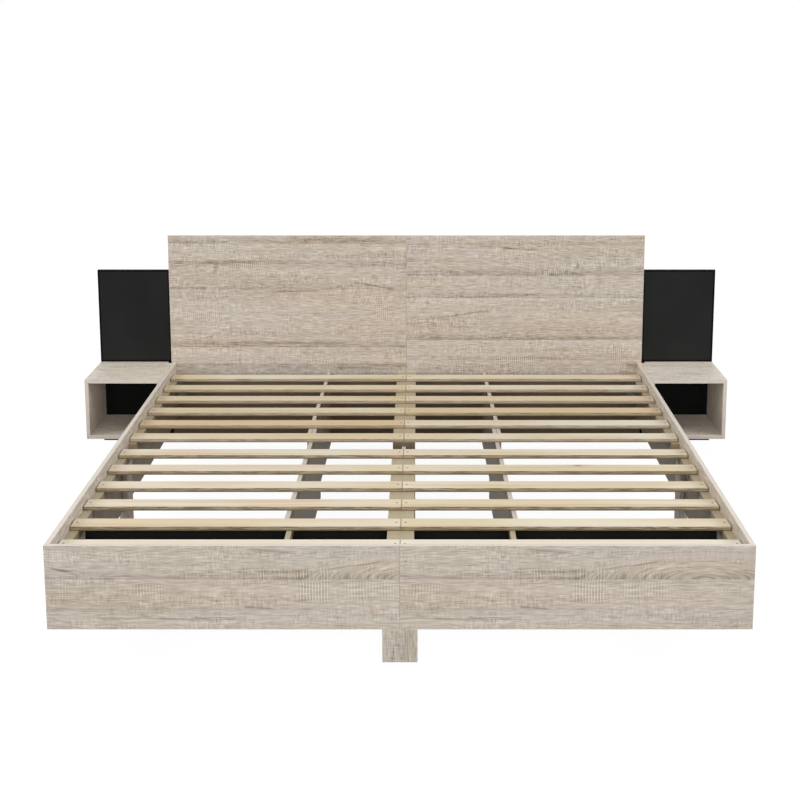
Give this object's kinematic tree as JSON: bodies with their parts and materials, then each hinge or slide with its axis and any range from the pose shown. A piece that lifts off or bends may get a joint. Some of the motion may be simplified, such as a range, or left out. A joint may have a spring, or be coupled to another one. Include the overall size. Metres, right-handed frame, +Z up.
{
  "type": "bed with attached nightstands",
  "caption": "Low platform bed frame with a flat headboard, wooden slats, dark side panels behind the headboard and an open nightstand attached on each side.",
  "frame": {"origin": "on the floor, in the middle of the whole outline", "axes": "+X to the right seen from the foot, +Y from foot to head, +Z up"},
  "size_m": [2.62, 2.09, 0.9],
  "materials": {
    "oak_laminate": "pale grey-brown oak laminate, matt, with a light sawn texture",
    "dark_laminate": "black laminate, fine matt",
    "pine": "planed pine, untreated",
    "steel": "zinc-plated, dull",
    "beech_dowel": "plain turned beech"
  },
  "bodies": {
    "root": {"headboard_left": "oak_laminate", "headboard_right": "oak_laminate", "footboard_left": "oak_laminate", "footboard_right": "oak_laminate", "side_rail_left_front": "oak_laminate", "side_rail_left_rear": "oak_laminate", "side_rail_right_front": "oak_laminate", "side_rail_right_rear": "oak_laminate", "nightstand_left_top": "oak_laminate", "nightstand_left_bottom": "oak_laminate", "nightstand_left_outer_side": "oak_laminate", "nightstand_left_inner_side": "oak_laminate", "nightstand_right_top": "oak_laminate", "nightstand_right_bottom": "oak_laminate", "nightstand_right_outer_side": "oak_laminate", "nightstand_right_inner_side": "oak_laminate", "centre_spine": "oak_laminate", "support_board_left_front": "oak_laminate", "support_board_left_rear": "oak_laminate", "support_board_right_front": "oak_laminate", "support_board_right_rear": "oak_laminate", "centre_foot_leg": "oak_laminate", "centre_mid_leg": "oak_laminate", "side_leg_left": "oak_laminate", "side_leg_right": "oak_laminate", "headboard_batten": "dark_laminate", "back_panel_left": "dark_laminate", "back_panel_right": "dark_laminate", "plinth_boards": "dark_laminate", "slat_left_01": "pine", "slat_left_02": "pine", "slat_left_03": "pine", "slat_left_04": "pine", "slat_left_05": "pine", "slat_left_06": "pine", "slat_left_07": "pine", "slat_left_08": "pine", "slat_left_09": "pine", "slat_left_10": "pine", "slat_left_11": "pine", "slat_left_12": "pine", "slat_right_01": "pine", "slat_right_02": "pine", "slat_right_03": "pine", "slat_right_04": "pine", "slat_right_05": "pine", "slat_right_06": "pine", "slat_right_07": "pine", "slat_right_08": "pine", "slat_right_09": "pine", "slat_right_10": "pine", "slat_right_11": "pine", "slat_right_12": "pine", "ledger_strips": "pine", "centre_board_front": "pine", "centre_board_rear": "pine", "steel_brackets": "steel", "slat_screws": "steel", "frame_screws": "steel", "nightstand_dowels": "beech_dowel"}
  },
  "joints": []
}
